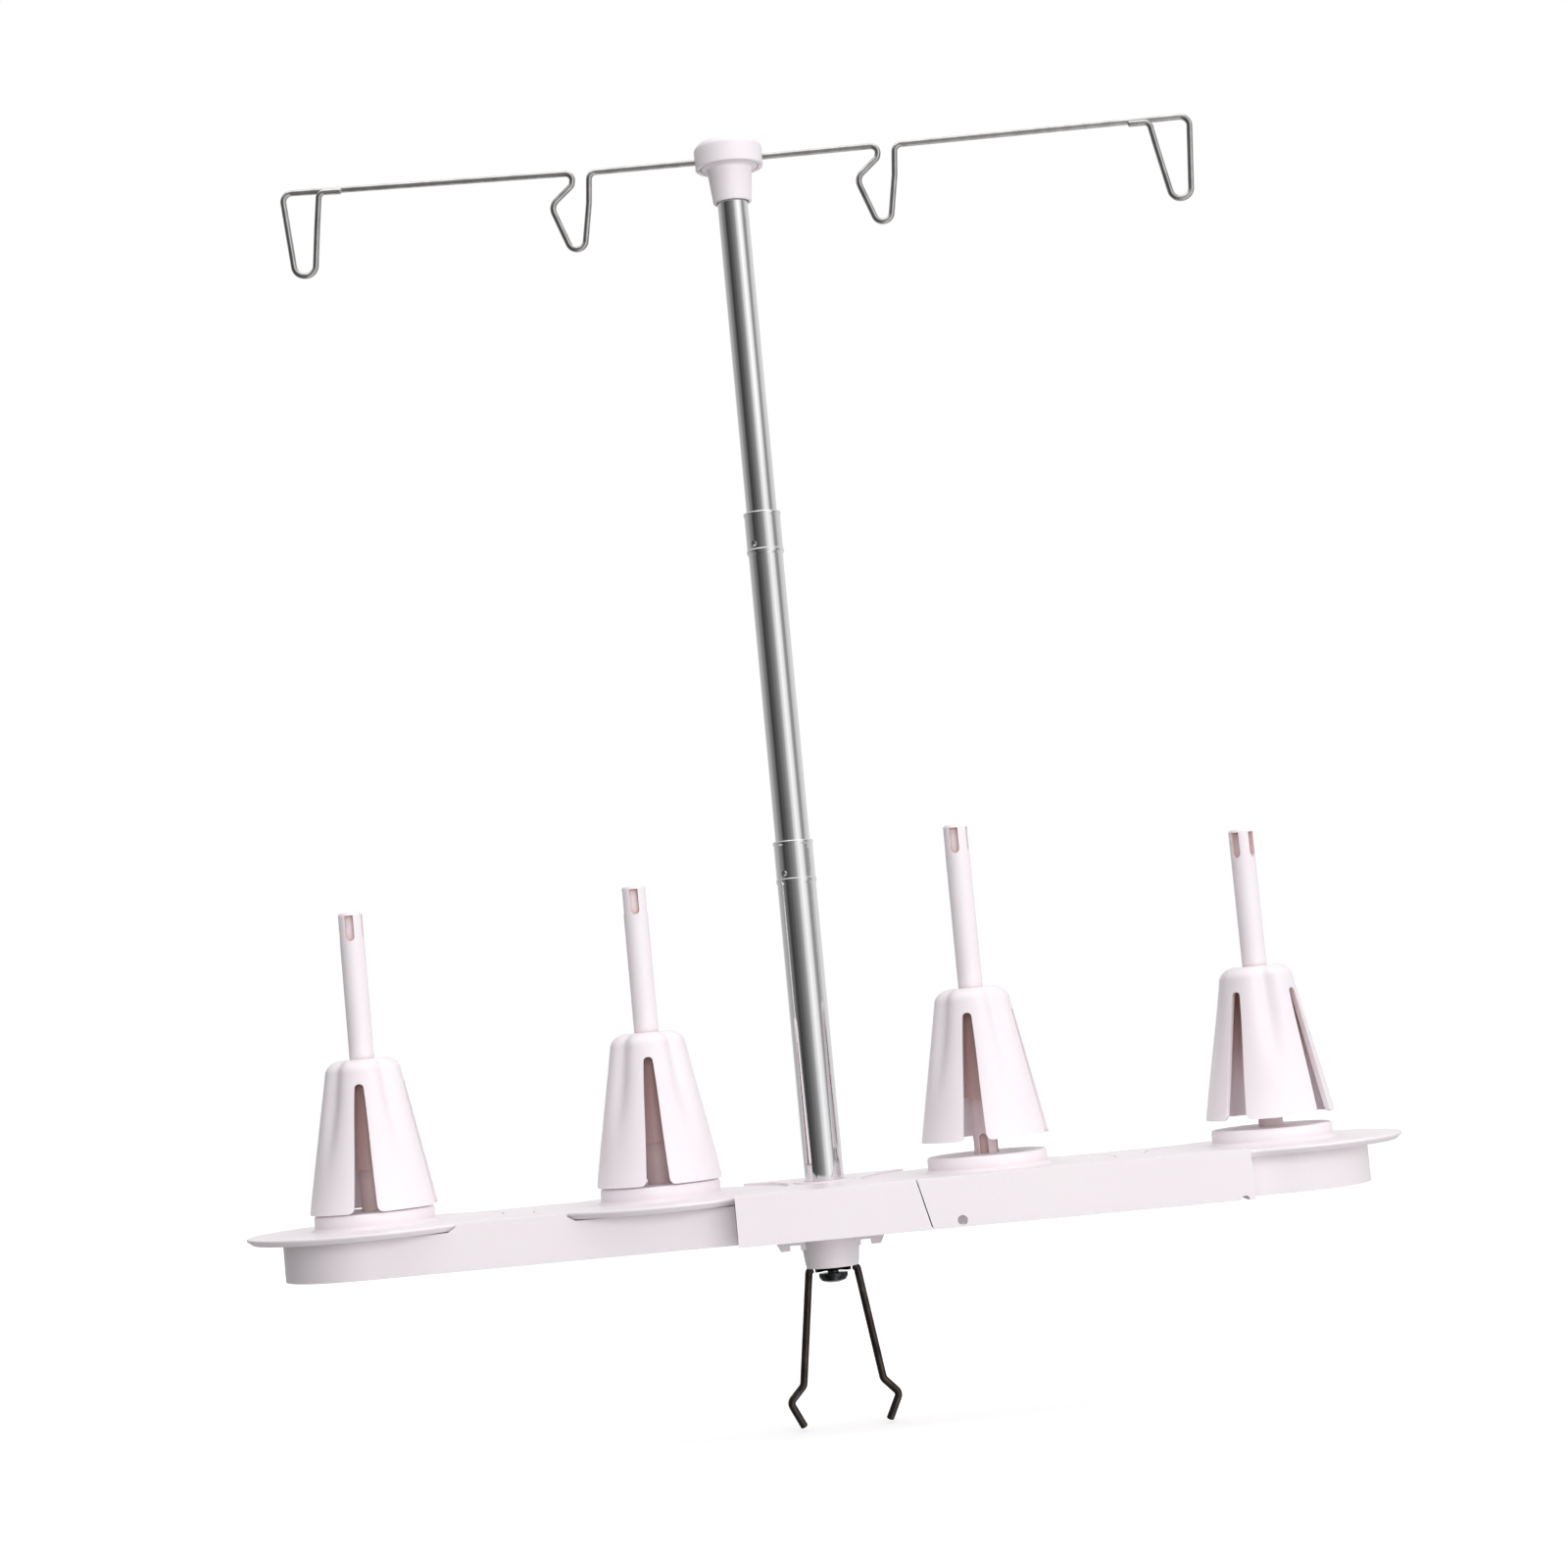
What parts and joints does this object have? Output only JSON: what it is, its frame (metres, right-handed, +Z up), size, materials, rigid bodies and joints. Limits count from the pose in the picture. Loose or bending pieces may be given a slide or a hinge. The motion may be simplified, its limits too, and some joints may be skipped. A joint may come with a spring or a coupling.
{
  "type": "spool holder stand",
  "caption": "Thread stand for a sewing machine: a base with upright pins and slotted cone holders, a telescopic mast with a wire thread guide bar, and a sprung clip underneath.",
  "frame": {"origin": "on the mast's axis, in the plane where the base sits on the machine and the boss enters its socket", "axes": "+Z up the mast, +X along the base to the right as seen from the front, -Y towards the front"},
  "size_m": [0.331, 0.074, 0.3734],
  "materials": {
    "white_plastic": "satin white moulded plastic with a faint lilac cast",
    "chrome": "bright chrome plate on drawn tube",
    "guide_steel": "bright drawn steel wire",
    "spring_steel": "blackened spring steel wire",
    "black_screw": "glossy black zinc plated screw",
    "nylon": "natural nylon"
  },
  "bodies": {
    "base": {"centre_block": "white_plastic", "left_arm": "white_plastic", "right_arm": "white_plastic", "right_fascia": "white_plastic", "arm_screw_1": "black_screw", "arm_screw_2": "black_screw", "arm_screw_3": "black_screw", "arm_screw_4": "black_screw", "spool_seat_1": "white_plastic", "spool_seat_2": "white_plastic", "spool_seat_3": "white_plastic", "spool_seat_4": "white_plastic", "lower_tube": "chrome", "mast_plug": "nylon", "mast_boss": "white_plastic", "clip_crown": "spring_steel", "clip_screw": "black_screw"},
    "pin_1": {"spool_pin_1": "white_plastic"},
    "pin_2": {"spool_pin_2": "white_plastic"},
    "pin_3": {"spool_pin_3": "white_plastic"},
    "pin_4": {"spool_pin_4": "white_plastic"},
    "cone_1": {"cone_holder_1": "white_plastic"},
    "cone_2": {"cone_holder_2": "white_plastic"},
    "cone_3": {"cone_holder_3": "white_plastic"},
    "cone_4": {"cone_holder_4": "white_plastic"},
    "middle_slider": {"middle_brake": "nylon"},
    "middle_mast": {"middle_tube": "chrome"},
    "upper_slider": {"upper_brake": "nylon"},
    "guide_head": {"upper_tube": "chrome", "hub_body": "white_plastic", "hub_cap": "white_plastic", "guide_wire_left": "guide_steel", "guide_wire_right": "guide_steel"},
    "left_leg": {"clip_leg_left": "spring_steel"},
    "right_leg": {"clip_leg_right": "spring_steel"}
  },
  "joints": [
    {"name": "middle_slide", "type": "slide", "parent": "base", "child": "middle_slider", "axis": [0, 0, 1], "range_m": [-0.0835, 0]},
    {"name": "middle_swivel", "type": "hinge", "parent": "middle_slider", "child": "middle_mast", "pos_m": [0, 0, 0.1], "axis": [0, 0, 1], "continuous": true},
    {"name": "upper_slide", "type": "slide", "parent": "middle_mast", "child": "upper_slider", "axis": [0, 0, 1], "range_m": [-0.0915, 0]},
    {"name": "guide_swivel", "type": "hinge", "parent": "upper_slider", "child": "guide_head", "pos_m": [0, 0, 0.2], "axis": [0, 0, 1], "continuous": true},
    {"name": "pin_1_pull", "type": "slide", "parent": "base", "child": "pin_1", "axis": [0, 0, 1], "range_m": [0, 0.011]},
    {"name": "pin_2_pull", "type": "slide", "parent": "base", "child": "pin_2", "axis": [0, 0, 1], "range_m": [0, 0.011]},
    {"name": "pin_3_pull", "type": "slide", "parent": "base", "child": "pin_3", "axis": [0, 0, 1], "range_m": [-0.009, 0.002]},
    {"name": "pin_4_pull", "type": "slide", "parent": "base", "child": "pin_4", "axis": [0, 0, 1], "range_m": [0, 0.011]},
    {"name": "cone_1_lift", "type": "slide", "parent": "base", "child": "cone_1", "axis": [0, 0, 1], "range_m": [0, 0.042]},
    {"name": "cone_2_lift", "type": "slide", "parent": "base", "child": "cone_2", "axis": [0, 0, 1], "range_m": [0, 0.042]},
    {"name": "cone_3_lift", "type": "slide", "parent": "base", "child": "cone_3", "axis": [0, 0, 1], "range_m": [-0.004, 0.038]},
    {"name": "cone_4_lift", "type": "slide", "parent": "base", "child": "cone_4", "axis": [0, 0, 1], "range_m": [-0.0026, 0.0394]},
    {"name": "left_leg_squeeze", "type": "hinge", "parent": "base", "child": "left_leg", "pos_m": [-0.0065, 0, -0.0111], "axis": [0, -1, 0], "range_deg": [-2, 8], "stiffness_Nm_per_rad": 2},
    {"name": "right_leg_squeeze", "type": "hinge", "parent": "base", "child": "right_leg", "pos_m": [0.0065, 0, -0.0111], "axis": [0, 1, 0], "range_deg": [-2, 8], "stiffness_Nm_per_rad": 2}
  ]
}
